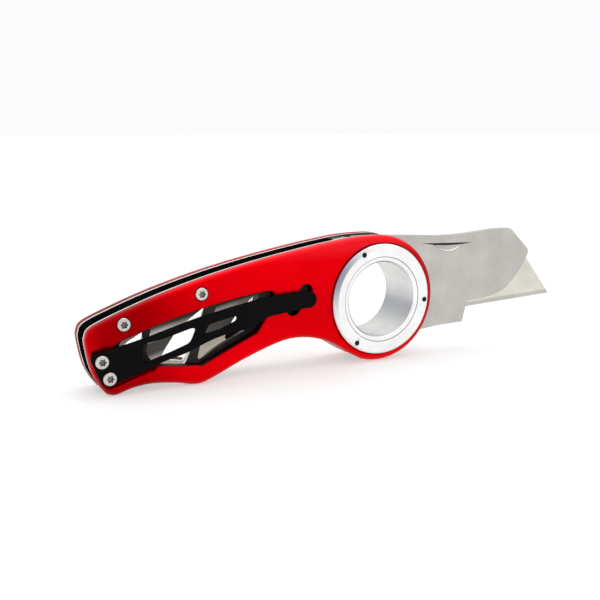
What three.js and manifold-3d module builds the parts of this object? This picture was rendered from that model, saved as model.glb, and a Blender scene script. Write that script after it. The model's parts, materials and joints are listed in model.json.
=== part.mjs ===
// Folding utility knife with a finger ring for a pivot.
//
// Two red aluminium scales and two steel liners are screwed to a black spacer along the spine.
// The blade carrier turns on an aluminium sleeve wide enough for a finger, and takes a standard
// trapezoid blade. The knife stands on the edge of its handle with the blade opened towards +X.
// Everything is drawn round the axis of the finger ring: x towards the blade, z up, y = 0 on the
// middle plane between the scales. The last lines move the whole knife to its own origin.

import * as THREE from 'three';
import { mergeVertices } from 'three/addons/utils/BufferGeometryUtils.js';
import Module from 'manifold-3d';

const wasm = await Module();
wasm.setup();

// ---------------------------------------------------------------- driving dimensions (mm)

// Where the axis of the finger ring stands, measured from the middle of the knife's footprint.
const RING_AXIS_X = 8.55;
const MID_PLANE_Y = 0.426;
const RING_AXIS_Z = 19.45;

// Layers of the handle, as distances from the middle plane.
const SCALE_OUT = 7.35;
const SCALE_IN = 4.1;
const LINER_IN = 2.9;
const RING_OUT = 8.4;
const RING_SEAT = 5.5;

// Round parts about the ring axis, as radii.
const FINGER_R = 11.5;
const SLEEVE_R = 13.0;
const RING_R = 17.0;
const SEAT_R = 17.35;
const WASHER_R = 17.4;
const TANG_R = 18.8;
const RING_END_R = RING_AXIS_Z;
const SPANNER_CIRCLE_R = 15.5;
const SPANNER_HOLE_R = 0.82;
const SPANNER_HOLE_DEEP = 1.3;
const SPANNER_HOLES_AT = [4.8, 124.8, 244.8];
const RING_CHAMFER = 0.5;
const SLEEVE_SHORT = 0.1;
const BORE_CHAMFER = 0.45;
const TURN_GAP = 0.1;
const WASHER_GAP = 0.05;

// Handle details.
const SCALE_BEVEL = 2.0;
const LINER_INSET = 0.15;
const SPACER_INSET = 0.2;

// Screws: one through each end of the clip and two through the scales.
const SCREWS = [
  { name: 'clip_lower', x: -85.0, z: -14.1, clip: true },
  { name: 'clip_upper', x: -86.9, z: -9.3, clip: true },
  { name: 'butt', x: -80.4, z: 0.0, clip: false },
  { name: 'middle', x: -58.2, z: 6.4, clip: false },
];
const HEAD_R = 1.88;
const HEAD_HIGH = 1.05;
const HEAD_SUNK = 0.6;
const HEAD_GAP = 0.2;
const SHANK_R = 1.0;
const SHANK_GAP = 0.15;
const SHANK_END = 0.9;
const SOCKET_R = 0.85;
const SOCKET_DEEP = 0.7;
const STANDOFF_R = 1.9;
const STANDOFF_GAP = 0.05;

// Blade, blade carrier and their tilt in the carrier.
const BLADE_LONG = 61;
const BLADE_SHORT = 33;
const BLADE_TALL = 19;
const BLADE_THICK = 0.6;
const BLADE_BEVEL = 1.5;
const BLADE_TILT = THREE.MathUtils.degToRad(2.6);
const BLADE_TIP = { x: 73.6, z: -5.5 };
const NOTCH_OFFSET = 5.2;
const NOTCH_WIDE = 2.6;
const NOTCH_DEEP = 1.9;
const CHEEK_OUT = 1.05;
const CHEEK_IN = 0.35;
const NICK_DEEP = 0.4;
const BOW_THICK = 0.35;

// Pocket clip.
const CLIP_THICK = 1.0;
const CLIP_POCKET = 0.55;
const CLIP_STANDOFF = 1.3;
const CLIP_LEAN = 0.62;
const CLIP_FLARE = 0.7;
const CLIP_ARM_X = -77.0;
const CLIP_ARM_LONG = 54.0;
const CLIP_POCKET_GAP = 0.35;

// Lock bar, bent inwards from the front liner.
const LOCK_ROOT = { x: -50, z: -11.2 };
const LOCK_BEND = THREE.MathUtils.degToRad(2.5);
const LOCK_GAP = 0.35;

// A cutter that goes right through, or out past a face, reaches this far from the middle plane.
const PAST = 12;

// ---------------------------------------------------------------- drawing and solid helpers

const point = (x, z) => new THREE.Vector2(x, z);

// A smooth line through hand-set points, with `steps` chords between each two.
function through(pairs, steps) {
  const curve = new THREE.SplineCurve(pairs.map(([x, z]) => point(x, z)));
  return curve.getPoints(steps * (pairs.length - 1));
}

// Points on an arc about (x, z), from one angle to another in degrees.
function arc(x, z, r, from, to, steps) {
  return Array.from({ length: steps + 1 }, (_, i) => {
    const a = THREE.MathUtils.degToRad(from + ((to - from) * i) / steps);
    return point(x + r * Math.cos(a), z + r * Math.sin(a));
  });
}

const circle = (x, z, r, steps) => arc(x, z, r, 0, 360 - 360 / steps, steps - 1);

// A stretch of y on one side of the middle plane, given as distances from that plane.
const span = (side, inner, outer) => (side < 0 ? [-outer, -inner] : [inner, outer]);

// A closed outline of straight sides whose corners are rounded to the radius r.
function rounded(pairs, r, steps = 3) {
  const corners = pairs.map(([x, z]) => point(x, z));
  return corners.flatMap((corner, i) => {
    const before = corners[(i + corners.length - 1) % corners.length];
    const after = corners[(i + 1) % corners.length];
    const towards = (other) => {
      const reach = Math.min(r, 0.45 * corner.distanceTo(other));
      return other.clone().sub(corner).setLength(reach).add(corner);
    };
    return new THREE.QuadraticBezierCurve(towards(before), corner, towards(after)).getPoints(steps);
  });
}

// Neighbouring points closer than this would leave slivers, so an outline drops them.
function cleaned(points) {
  const kept = points.filter((p, i) => i === 0 || p.distanceTo(points[i - 1]) > 0.02);
  if (kept[0].distanceTo(kept.at(-1)) < 0.02) kept.pop();
  return kept;
}

// A plate with its outline in the x-z plane, from y = near to y = far.
function plate(points, near, far, bevel = null) {
  const shape = new THREE.Shape(cleaned(points));
  const options = { depth: far - near, bevelEnabled: false, steps: 1 };
  if (bevel) {
    Object.assign(options, {
      bevelEnabled: true,
      bevelThickness: bevel,
      bevelSize: bevel,
      bevelOffset: -bevel,
      bevelSegments: 2,
      depth: far - near - 2 * bevel,
    });
  }
  const geometry = new THREE.ExtrudeGeometry(shape, options);
  geometry.translate(0, 0, bevel ?? 0);
  geometry.rotateX(Math.PI / 2);
  geometry.translate(0, far, 0);
  return geometry;
}

// A turned part about the ring axis: the profile is a closed loop of [radius, y] pairs.
function turned(profile, steps) {
  const loop = [...profile, profile[0]].map(([r, y]) => point(r, y));
  return new THREE.LatheGeometry(loop, steps);
}

function solid(geometry) {
  const bare = geometry.clone();
  bare.deleteAttribute('normal');
  bare.deleteAttribute('uv');
  const welded = mergeVertices(bare, 1e-4);
  const mesh = new wasm.Mesh({
    numProp: 3,
    vertProperties: new Float32Array(welded.attributes.position.array),
    triVerts: new Uint32Array(welded.index.array),
  });
  return new wasm.Manifold(mesh);
}

function drawn(manifold) {
  const mesh = manifold.getMesh();
  const geometry = new THREE.BufferGeometry();
  geometry.setAttribute('position', new THREE.BufferAttribute(mesh.vertProperties, 3));
  geometry.setIndex(new THREE.BufferAttribute(mesh.triVerts, 1));
  geometry.computeVertexNormals();
  return geometry;
}

const less = (body, ...cutters) => cutters.reduce((left, cut) => left.subtract(solid(cut)), body);

// A plate with holes right through it.
function sheet(points, near, far, holes) {
  return less(solid(plate(points, near, far)), ...holes.map((h) => plate(h, -PAST, PAST)));
}

const knife = new THREE.Group();

function add(name, shape, finish) {
  const geometry = shape.isBufferGeometry ? shape : drawn(shape);
  const mesh = new THREE.Mesh(geometry, new THREE.MeshStandardMaterial(finish));
  mesh.name = name;
  knife.add(mesh);
  return mesh;
}

// ---------------------------------------------------------------- finishes

const RED_ANODISED = { color: 0xd3122b, roughness: 0.34, metalness: 0.85 };
const LINER_STEEL = { color: 0xc9c7bf, roughness: 0.28, metalness: 1.0 };
const TURNED_ALUMINIUM = { color: 0xe6e8e9, roughness: 0.3, metalness: 1.0 };
const CARRIER_STEEL = { color: 0xb4b2ab, roughness: 0.38, metalness: 1.0 };
const BLADE_STEEL = { color: 0xdadad2, roughness: 0.24, metalness: 1.0 };
const BLACK_PLASTIC = { color: 0x17181a, roughness: 0.55, metalness: 0.0 };
const BLACK_STEEL = { color: 0x121113, roughness: 0.42, metalness: 0.6 };
const SCREW_STEEL = { color: 0xc8cccd, roughness: 0.25, metalness: 1.0 };
const BRONZE = { color: 0xa9844a, roughness: 0.4, metalness: 1.0 };

// ---------------------------------------------------------------- outline of the handle

// The spine from the butt forwards, the round ring end, then the belly back to the butt.
const spine = through(
  [[-90.2, -1.8], [-88.4, -0.1], [-81.4, 2.8], [-70.1, 6.8], [-56.1, 10.8], [-41.4, 14.1],
    [-26.0, 16.9], [-15.3, 18.5], [-7.5, 19.35], [0, RING_END_R]], 3,
);
const ringEnd = arc(0, 0, RING_END_R, 87, -107, 30);
const belly = through(
  [[-7.8, -17.5], [-10.6, -15.9], [-16.3, -12.4], [-22.0, -10.3], [-28.5, -9.5], [-35.0, -10.5],
    [-45.2, -14.0], [-55.1, -18.3], [-59.9, -RING_END_R], [-66.0, -18.3], [-72.8, -17.6],
    [-78.4, -18.2], [-82.9, -RING_END_R], [-85.4, -18.9]], 3,
);
const butt = through([[-86.9, -17.0], [-89.2, -12.4], [-90.5, -6.0], [-90.7, -3.6]], 3);
const handle = cleaned([...spine, ...ringEnd, ...belly, ...butt]);

// The same outline moved inwards, for the layers that sit inside the scales.
function inset(points, amount) {
  const middle = cleaned(points);
  return middle.map((p, i) => {
    const before = middle[(i + middle.length - 1) % middle.length];
    const after = middle[(i + 1) % middle.length];
    const along = after.clone().sub(before).normalize();
    return point(p.x + along.y * amount, p.y - along.x * amount);
  });
}

// ---------------------------------------------------------------- scales

// The long window in each scale: wide at the butt, with its lower edge rising towards the ring.
// The rear one is cut a little lower than the front one, by the amount `lower`.
const windowEdge = (lower) => [
  ...through([[-84.2, -6.9], [-82.6, -5.1], [-78.8, -3.5], [-66.0, 0.4], [-52.9, 3.4],
    [-41.6, 5.2], [-37.6, 5.6]], 2),
  ...through([[-36.2, 5.1], [-35.8, 3.6], [-38.0, -1.2], [-40.0, -4.4], [-41.4, -6.4]], 2),
  ...through([[-43.6, -7.3], [-51.9, -11.0], [-58.4, -14.0 - lower]], 2),
  ...through([[-60.6, -13.5 - lower], [-65.0, -13.3 - lower], [-71.0, -12.5 - lower],
    [-79.0, -12.8 - lower / 2], [-82.6, -13.4]], 2),
  ...through([[-84.2, -12.4], [-84.9, -9.4]], 2),
];
const REAR_WINDOW_LOWER = 0.9;

// The small slanted slot beyond the window, under the tip of the clip.
const slot = [
  ...arc(-25.6, 4.5, 2.1, -25, 155, 8),
  ...arc(-29.9, -0.4, 2.1, 155, 335, 8),
];

// A scale is cut from a thick blank of the handle's outline, so that only its outer edge is soft.
function scale(side, extraCuts) {
  const everything = [point(-100, -30), point(30, -30), point(30, 30), point(-100, 30)];
  const cutters = [
    plate(everything, ...span(side, -PAST, SCALE_IN)),
    plate(windowEdge(side < 0 ? 0 : REAR_WINDOW_LOWER), -PAST, PAST),
    plate(circle(0, 0, SLEEVE_R + TURN_GAP, 40), -PAST, PAST),
    plate(circle(0, 0, SEAT_R, 40), ...span(side, RING_SEAT, PAST)),
    ...SCREWS.map((s) => plate(circle(s.x, s.z, SHANK_R + SHANK_GAP, 10), -PAST, PAST)),
    ...SCREWS.map((s) => {
      return plate(circle(s.x, s.z, HEAD_R + HEAD_GAP, 16), ...span(side, SCALE_OUT - HEAD_SUNK, PAST));
    }),
    ...extraCuts,
  ];
  return less(solid(plate(handle, -SCALE_OUT, SCALE_OUT, SCALE_BEVEL)), ...cutters);
}

// ---------------------------------------------------------------- pocket clip outline

// The pad round the two screws, and the arm that tapers to a round tip over the slanted slot.
const clipTop = [[-77.0, -4.7], [-73.1, -3.6], [-68.2, -2.1], [-60.0, 0.2], [-50.0, 2.3],
  [-40.0, 4.0], [-32.4, 4.6], [-26.5, 4.8]];
const clipUnder = [[-26.5, -0.3], [-33.0, -1.0], [-39.3, -1.8], [-44.0, -4.2], [-51.5, -5.2],
  [-57.6, -6.9], [-63.2, -9.2], [-69.6, -11.0], [-77.0, -13.6]];
const clipPad = [
  ...arc(-85.0, -14.1, 2.5, 270, 205, 5),
  ...arc(-88.2, -8.6, 1.6, 195, 115, 5),
  point(-77.3, -4.8), point(-77.3, -13.9),
];
const clipArm = [
  ...through(clipTop, 2),
  ...arc(-25.6, 2.25, 2.55, 90, -90, 10),
  ...through(clipUnder, 2),
];

// Two cut-outs with a slanted bar between them.
const clipWindows = [
  rounded([[-75.4, -5.6], [-70.6, -4.9], [-61.6, -2.4], [-60.6, -3.0], [-62.2, -6.6],
    [-67.4, -8.5], [-75.9, -11.2]], 1.2),
  rounded([[-58.3, -4.6], [-56.9, -1.9], [-48.6, -0.2], [-48.4, -1.6], [-53.2, -3.6]], 1.0),
];

const CLIP_PAD_BACK = SCALE_OUT - CLIP_POCKET;
const CLIP_PAD_FACE = CLIP_PAD_BACK + CLIP_THICK;

// The arm leaves the pad, stands off the scale, and comes back towards it before the tip.
const clipFace = (x) => {
  const along = THREE.MathUtils.clamp((x - CLIP_ARM_X) / CLIP_ARM_LONG, 0, 1);
  const rise = CLIP_STANDOFF * Math.sin(Math.PI * Math.min(1, along / 0.92) ** 0.8);
  const lean = CLIP_LEAN * THREE.MathUtils.smoothstep(along, 0.2, 0.92);
  const flare = CLIP_FLARE * THREE.MathUtils.smoothstep(along, 0.9, 1.0);
  return -(CLIP_PAD_FACE + rise + lean + flare);
};

// Bends a flat plate that was drawn with its front face at y = -CLIP_THICK to the clip's side view.
function bentClip(body) {
  return body.refineToLength(5).warp((v) => {
    v[1] += clipFace(v[0]) + CLIP_THICK;
  });
}

// ---------------------------------------------------------------- handle: scales and liners

// The pad sits in a shallow pocket that runs on a little way under the arm.
const pocketEdge = [...clipPad.slice(0, -2), point(-68.0, -1.8), point(-68.0, -11.2)];
const clipPocket = plate(inset(pocketEdge, -CLIP_POCKET_GAP), -PAST, -CLIP_PAD_BACK);

add('front_scale', scale(-1, [clipPocket, plate(slot, -PAST, 0)]), RED_ANODISED);
add('rear_scale', scale(1, []), RED_ANODISED);

const linerEdge = inset(handle, LINER_INSET);
const linerHoles = [
  circle(0, 0, SLEEVE_R + TURN_GAP, 40),
  ...SCREWS.map((s) => circle(s.x, s.z, SHANK_R + SHANK_GAP, 10)),
];

// The front liner has three wide openings between two narrow slanted struts.
const frontOpenings = [
  rounded([[-81.0, -5.2], [-74.2, -2.4], [-74.7, -9.0], [-77.5, -13.4], [-81.5, -12.6]], 1.6),
  rounded([[-71.7, -1.4], [-55.6, 2.9], [-58.6, -5.4], [-62.6, -14.0], [-71.2, -13.2],
    [-73.6, -9.0]], 1.4),
  rounded([[-51.8, 3.4], [-39.2, 5.9], [-39.6, 1.6], [-43.0, -5.4], [-52.0, -9.4],
    [-58.8, -13.2], [-57.7, -8.6]], 1.4),
];

// The lock bar lies in the lower edge of the front liner and reaches forward to the tang.
const lockBar = rounded([[LOCK_ROOT.x, -14.9], [LOCK_ROOT.x, -11.4], [-43.0, -8.0], [-36.0, -5.2],
  [-28.5, -4.4], [-18.6, -4.6], [-17.4, -8.2], [-17.9, -10.6], [-22.2, -9.1], [-28.5, -8.4],
  [-35.3, -9.3], [-45.4, -12.8]], 0.8, 2);
const lockSlit = [point(LOCK_ROOT.x - LOCK_GAP, -17.5), point(LOCK_ROOT.x - LOCK_GAP, -11.0),
  point(-43.0, -7.6), point(-36.0, -4.8), point(-28.5, -4.0), point(-17.9, -4.2),
  point(-16.8, -8.2), point(-17.6, -12.0), point(-17.6, -20), point(-44.0, -20)];

add('front_liner', sheet(linerEdge, -SCALE_IN, -LINER_IN,
  [...linerHoles, ...frontOpenings, lockSlit]), LINER_STEEL);

// The rear liner is cut more sparingly, with three leaning openings that narrow to the top.
const rearOpenings = [
  rounded([[-71.4, -4.4], [-77.0, -7.4], [-81.0, -12.0], [-75.4, -12.6]], 1.0),
  [...through([[-53.5, 0.6], [-58.7, -2.9], [-63.0, -6.7], [-66.9, -12.3]], 2),
    point(-66.4, -13.6), point(-60.6, -14.6), point(-59.6, -13.4)],
  [...through([[-38.1, 2.3], [-41.4, -0.6], [-44.8, -4.2], [-47.4, -9.0]], 2),
    point(-46.6, -10.6), point(-42.4, -9.4), point(-40.9, -6.6)],
];
add('rear_liner', sheet(linerEdge, LINER_IN, SCALE_IN, [...linerHoles, ...rearOpenings]),
  LINER_STEEL);

const lockPivot = new THREE.Group();
lockPivot.position.set(LOCK_ROOT.x, -SCALE_IN, 0);
lockPivot.rotation.z = LOCK_BEND;
knife.add(lockPivot);
const bar = add('lock_bar', plate(lockBar, 0, SCALE_IN - LINER_IN).translate(-LOCK_ROOT.x, 0, 0),
  LINER_STEEL);
lockPivot.add(bar);

// ---------------------------------------------------------------- spacer, stop and standoffs

// A black strip follows the spine and the butt, and widens at each screw.
const spacerReach = [
  point(-100, 30), point(-13.8, 30), point(-13.8, 14.4),
  ...through([[-26.0, 12.8], [-41.4, 9.8], [-53.6, 6.4], [-56.6, 3.9], [-59.8, 3.7], [-62.4, 5.0],
    [-70.0, 3.0], [-76.6, -0.4], [-79.6, -4.4], [-81.4, -10.0], [-82.2, -30]], 2),
  point(-100, -30),
];
const spacer = solid(plate(inset(handle, SPACER_INSET), -LINER_IN, LINER_IN))
  .intersect(solid(plate(spacerReach, -LINER_IN, LINER_IN)));
add('back_spacer', less(spacer, ...SCREWS.map((s) => {
  return plate(circle(s.x, s.z, STANDOFF_R + STANDOFF_GAP, 16), -PAST, PAST);
})), BLACK_PLASTIC);

// A steel block between the liners, which the shoulder of the tang meets when the knife is open.
add('stop_block', plate(rounded([[-13.2, 18.0], [-7.6, 18.7], [-8.0, 17.4], [-13.4, 14.0]], 0.4, 2),
  -LINER_IN, LINER_IN), SCREW_STEEL);

for (const s of SCREWS) {
  const bore = [circle(s.x, s.z, SHANK_R + SHANK_GAP, 10)];
  add(`${s.name}_standoff`, sheet(circle(s.x, s.z, STANDOFF_R, 16), -LINER_IN, LINER_IN, bore),
    SCREW_STEEL);
}

// ---------------------------------------------------------------- screws

// A low button head with a six-sided socket, and a shank that reaches into the standoff.
function screw(s, side, seat) {
  const top = seat + HEAD_HIGH;
  const profile = [[0, SHANK_END], [SHANK_R, SHANK_END], [SHANK_R, seat], [HEAD_R, seat],
    [HEAD_R, top - 0.45], [HEAD_R - 0.25, top - 0.12], [HEAD_R - 0.7, top], [0, top]];
  const body = new THREE.LatheGeometry(profile.map(([r, y]) => point(r, y)), 14);
  const socket = plate(circle(0, 0, SOCKET_R, 6), top - SOCKET_DEEP, top + SOCKET_DEEP);
  const whole = drawn(less(solid(body), socket));
  if (side < 0) whole.rotateZ(Math.PI);
  return whole.translate(s.x, 0, s.z);
}

const CLIP_SEAT = CLIP_PAD_FACE + 0.02;
for (const s of SCREWS) {
  add(`${s.name}_front_screw`, screw(s, -1, s.clip ? CLIP_SEAT : SCALE_OUT - HEAD_SUNK), SCREW_STEEL);
  add(`${s.name}_rear_screw`, screw(s, 1, SCALE_OUT - HEAD_SUNK), SCREW_STEEL);
}

// ---------------------------------------------------------------- finger ring and its bearings

const SLEEVE_END = RING_OUT - SLEEVE_SHORT;
add('finger_sleeve', turned([
  [FINGER_R + BORE_CHAMFER, -SLEEVE_END], [SLEEVE_R - 0.15, -SLEEVE_END],
  [SLEEVE_R, -SLEEVE_END + 0.15], [SLEEVE_R, SLEEVE_END - 0.15], [SLEEVE_R - 0.15, SLEEVE_END],
  [FINGER_R + BORE_CHAMFER, SLEEVE_END], [FINGER_R, SLEEVE_END - BORE_CHAMFER],
  [FINGER_R, -SLEEVE_END + BORE_CHAMFER],
], 48), TURNED_ALUMINIUM);

// Each retaining ring screws onto the end of the sleeve; a pin spanner fits its three holes.
function retainingRing(side) {
  const profile = [[SLEEVE_R + TURN_GAP, RING_SEAT], [RING_R, RING_SEAT],
    [RING_R, RING_OUT - RING_CHAMFER], [RING_R - RING_CHAMFER, RING_OUT],
    [SLEEVE_R + TURN_GAP, RING_OUT]];
  const holes = SPANNER_HOLES_AT.map((degrees) => {
    const a = THREE.MathUtils.degToRad(degrees);
    const centre = [SPANNER_CIRCLE_R * Math.cos(a), SPANNER_CIRCLE_R * Math.sin(a)];
    return plate(circle(...centre, SPANNER_HOLE_R, 8), RING_OUT - SPANNER_HOLE_DEEP, PAST);
  });
  const ring = drawn(less(solid(turned(profile, 48)), ...holes));
  // The front ring is the rear one turned over about the x axis.
  return side < 0 ? ring.rotateX(Math.PI) : ring;
}
add('front_retaining_ring', retainingRing(-1), TURNED_ALUMINIUM);
add('rear_retaining_ring', retainingRing(1), TURNED_ALUMINIUM);

for (const [name, side] of [['front', -1], ['rear', 1]]) {
  const bore = [circle(0, 0, SLEEVE_R + TURN_GAP, 40)];
  const layer = span(side, CHEEK_OUT + WASHER_GAP, LINER_IN - WASHER_GAP);
  add(`${name}_thrust_washer`, sheet(circle(0, 0, WASHER_R, 40), ...layer, bore), BRONZE);
}

// ---------------------------------------------------------------- blade and blade carrier

// The blade's own axes: u along the edge towards the tip, v up across the blade.
const onBlade = (u, v) => point(
  BLADE_TIP.x + u * Math.cos(BLADE_TILT) - v * Math.sin(BLADE_TILT),
  BLADE_TIP.z + u * Math.sin(BLADE_TILT) + v * Math.cos(BLADE_TILT),
);
const BLADE_RAKE = (BLADE_LONG - BLADE_SHORT) / 2;

// The blade's outline, grown by a margin for the pocket that holds it.
const bladeOutline = (margin) => [
  onBlade(margin, -margin), onBlade(-BLADE_RAKE + margin, BLADE_TALL + margin),
  onBlade(BLADE_RAKE - BLADE_LONG - margin, BLADE_TALL + margin),
  onBlade(-BLADE_LONG - 1.6 * margin, -margin),
];

// The ground edge is cut by two long wedges; two notches in the back locate the blade.
function blade() {
  const blank = solid(plate(bladeOutline(0), -BLADE_THICK / 2, BLADE_THICK / 2));
  const notches = [-NOTCH_OFFSET, NOTCH_OFFSET].map((offset) => {
    const [left, right] = [-0.5, 0.5].map((half) => offset - BLADE_LONG / 2 + half * NOTCH_WIDE);
    const floor = BLADE_TALL - NOTCH_DEEP;
    return plate([onBlade(left, BLADE_TALL + 1), onBlade(left, floor), onBlade(right, floor),
      onBlade(right, BLADE_TALL + 1)], -PAST, PAST);
  });
  const slope = Math.atan2(BLADE_THICK / 2 - 0.02, BLADE_BEVEL);
  const wedges = [-1, 1].map((side) => {
    const wedge = new THREE.BoxGeometry(BLADE_LONG + 6, 2, 4);
    wedge.translate(-BLADE_LONG / 2, side, 0);
    wedge.rotateX(-side * slope);
    wedge.translate(0, side * 0.02, 0);
    wedge.rotateY(-BLADE_TILT);
    return wedge.translate(BLADE_TIP.x, 0, BLADE_TIP.z);
  });
  return less(blank, ...notches, ...wedges);
}
add('utility_blade', blade(), BLADE_STEEL);

// One sheet folded over along the back of the blade makes both cheeks of the carrier.
const carrierNose = [
  ...through([[18.3, 17.9], [25.2, 17.5], [32.3, 17.5], [39.5, 17.9], [46.9, 18.5]], 3),
  ...rounded([[50.6, 18.6], [55.1, 18.3], [63.2, 10.5], [62.6, 8.2]], 0.8, 2).slice(1, -1),
  ...through([[61.3, 6.2], [58.0, 2.0], [54.0, -1.8], [48.8, -3.8], [44.2, -4.7]], 3),
  point(37.6, -5.1), point(37.3, -6.9), point(36.0, -11.9),
  ...through([[29.9, -12.1], [24.5, -12.3], [19.6, -12.8]], 1),
];
const tangBack = arc(0, 0, TANG_R, -47, -252, 30);
const shoulder = [point(-6.2, 18.85), point(2.0, TANG_R)];
const carrierEdge = [...tangBack, ...shoulder, ...carrierNose];

// Everything behind this line is open between the cheeks; the fold is left above it.
const cheekGap = [point(-30, -30), point(80, -30), point(80, 12), point(57.0, 14.6),
  point(55.4, 17.2), point(47, 17.6), point(32, 16.7), point(18, 17.0), point(4, 17.4),
  point(4, 30), point(-30, 30)];

// A shallow crescent pressed into the front cheek takes a thumbnail.
const nailNick = [
  ...through([[19.6, 15.3], [29.2, 14.7], [38.4, 14.5]], 2),
  ...through([[36.0, 12.9], [31.5, 12.3], [26.4, 12.9], [22.0, 14.2]], 2),
];
const carrier = less(
  sheet(carrierEdge, -CHEEK_OUT, CHEEK_OUT, [circle(0, 0, SLEEVE_R + TURN_GAP, 40)]),
  plate(cheekGap, -CHEEK_IN, CHEEK_IN),
  plate(nailNick, -PAST, -CHEEK_OUT + NICK_DEEP),
);
add('blade_carrier', carrier, CARRIER_STEEL);

// A flat core fills the gap between the cheeks round the sleeve and above the blade.
const coreEdge = [
  ...arc(0, 0, TANG_R - 0.4, -50, -265, 24), point(4, 17.1),
  point(18, 16.7), point(32, 16.4), point(47, 17.2), point(50, 16.8), point(50.0, 13.0),
  point(17, 9), point(18, -12.0),
];
const bladePath = [onBlade(10, -0.3), onBlade(10, BLADE_TALL + 0.3),
  onBlade(BLADE_RAKE - BLADE_LONG - 0.3, BLADE_TALL + 0.3), onBlade(-BLADE_LONG - 0.5, -0.3)];
const springPocket = rounded([[30.0, 12.0], [31.4, 14.9], [45.6, 15.6], [47.0, 12.4]], 0.5, 2);
add('tang_core', less(
  sheet(coreEdge, -CHEEK_IN + 0.01, CHEEK_IN - 0.01, [circle(0, 0, SLEEVE_R + TURN_GAP, 40)]),
  plate(bladePath, -PAST, PAST),
  plate(springPocket, -PAST, PAST),
), CARRIER_STEEL);

// A small bowed spring in the core's pocket rests on the blade's back.
const bow = through([[31.2, 14.3], [35.0, 13.2], [38.5, 12.6], [42.0, 13.5], [45.4, 14.9]], 3);
const bowUnder = bow.map((p) => point(p.x, p.y - BOW_THICK)).reverse();
add('blade_spring', plate([...bow, ...bowUnder], -CHEEK_IN + 0.03, CHEEK_IN - 0.03), SCREW_STEEL);

// ---------------------------------------------------------------- pocket clip

// The pad is held by its screws; the arm is the springy part and is drawn as its own solid.
const clipScrews = SCREWS.filter((s) => s.clip);
const padHoles = clipScrews.map((s) => circle(s.x, s.z, SHANK_R + SHANK_GAP, 10));
add('clip_pad', sheet(clipPad, -CLIP_PAD_FACE, -CLIP_PAD_BACK, padHoles), BLACK_STEEL);
add('clip_arm', bentClip(sheet(clipArm, -CLIP_THICK, 0, clipWindows)), BLACK_STEEL);

// ---------------------------------------------------------------- placing

knife.position.set(RING_AXIS_X, MID_PLANE_Y, RING_AXIS_Z);

export default knife;
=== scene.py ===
import json
import math

import bmesh
import bpy
from mathutils import Matrix, Vector


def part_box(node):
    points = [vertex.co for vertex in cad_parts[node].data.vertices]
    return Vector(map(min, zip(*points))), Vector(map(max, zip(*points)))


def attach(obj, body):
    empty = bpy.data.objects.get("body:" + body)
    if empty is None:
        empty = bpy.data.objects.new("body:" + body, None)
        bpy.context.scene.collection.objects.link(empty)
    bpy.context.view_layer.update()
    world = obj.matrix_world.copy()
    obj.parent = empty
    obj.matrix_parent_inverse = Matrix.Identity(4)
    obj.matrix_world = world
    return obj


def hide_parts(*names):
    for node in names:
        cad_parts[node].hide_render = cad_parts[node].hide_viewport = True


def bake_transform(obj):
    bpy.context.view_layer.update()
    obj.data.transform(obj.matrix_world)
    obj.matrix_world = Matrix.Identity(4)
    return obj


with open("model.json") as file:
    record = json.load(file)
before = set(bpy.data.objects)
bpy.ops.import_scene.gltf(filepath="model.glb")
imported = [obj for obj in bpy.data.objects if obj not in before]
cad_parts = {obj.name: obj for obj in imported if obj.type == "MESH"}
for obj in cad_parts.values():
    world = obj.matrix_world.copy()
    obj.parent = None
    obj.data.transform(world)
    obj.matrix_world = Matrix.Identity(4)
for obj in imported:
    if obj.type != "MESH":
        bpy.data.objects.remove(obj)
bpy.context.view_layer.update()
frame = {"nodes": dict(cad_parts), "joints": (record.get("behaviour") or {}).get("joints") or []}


# ------------------------------------------------------------ table top, light and camera
# A plain white table lit from below, with soft light from all round. The camera stands beyond
# the butt on the clip's side, and looks down a little.
MM = 0.001

sleeve_low, sleeve_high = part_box("finger_sleeve")
ring_axis = (sleeve_low + sleeve_high) / 2


def new_material(name):
    material = bpy.data.materials.new(name)
    material.use_nodes = True
    return material, material.node_tree, material.node_tree.nodes["Principled BSDF"]


def put(tree, kind, **settings):
    node = tree.nodes.new(kind)
    for key, value in settings.items():
        setattr(node, key, value)
    return node


def stood(name, mesh):
    piece = bpy.data.objects.new(name, mesh)
    bpy.context.collection.objects.link(piece)
    return piece


HALF_TABLE = 6.0
table = bpy.data.meshes.new("table_top")
table.from_pydata([(x * HALF_TABLE, y * HALF_TABLE, 0) for x, y in
                   ((-1, -1), (1, -1), (1, 1), (-1, 1))], [], [(0, 1, 2, 3)])
table_paint, _, paint = new_material("white_table_paint")
paint.inputs["Base Color"].default_value = (0.55, 0.55, 0.55, 1)
paint.inputs["Emission Color"].default_value = (1, 1, 1, 1)
paint.inputs["Emission Strength"].default_value = 0.42
paint.inputs["Roughness"].default_value = 0.6
paint.inputs["Specular IOR Level"].default_value = 0.1
table.materials.append(table_paint)
stood("table_top", table)

room = bpy.data.worlds.new("soft_white_room")
bpy.context.scene.world = room
room.use_nodes = True
sky = room.node_tree
facing = put(sky, "ShaderNodeTexCoord")
split = put(sky, "ShaderNodeSeparateXYZ")
tone = put(sky, "ShaderNodeValToRGB")
low_tone, high_tone = tone.color_ramp.elements
low_tone.position, low_tone.color = 0.2, (1.0, 1.0, 1.0, 1)
high_tone.position, high_tone.color = 1.0, (1.25, 1.25, 1.25, 1)
sky.links.new(facing.outputs["Generated"], split.inputs[0])
sky.links.new(split.outputs["Z"], tone.inputs[0])
sky.links.new(tone.outputs[0], sky.nodes["Background"].inputs["Color"])
sky.nodes["Background"].inputs["Strength"].default_value = 0.97


def soft_box(name, place, aim, size, watts):
    light = bpy.data.lights.new(name, "AREA")
    light.size = size
    light.energy = watts
    lamp = stood(name, light)
    lamp.location = place
    lamp.rotation_euler = (Vector(aim) - Vector(place)).to_track_quat("-Z", "Y").to_euler()
    lamp.visible_camera = False


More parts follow.
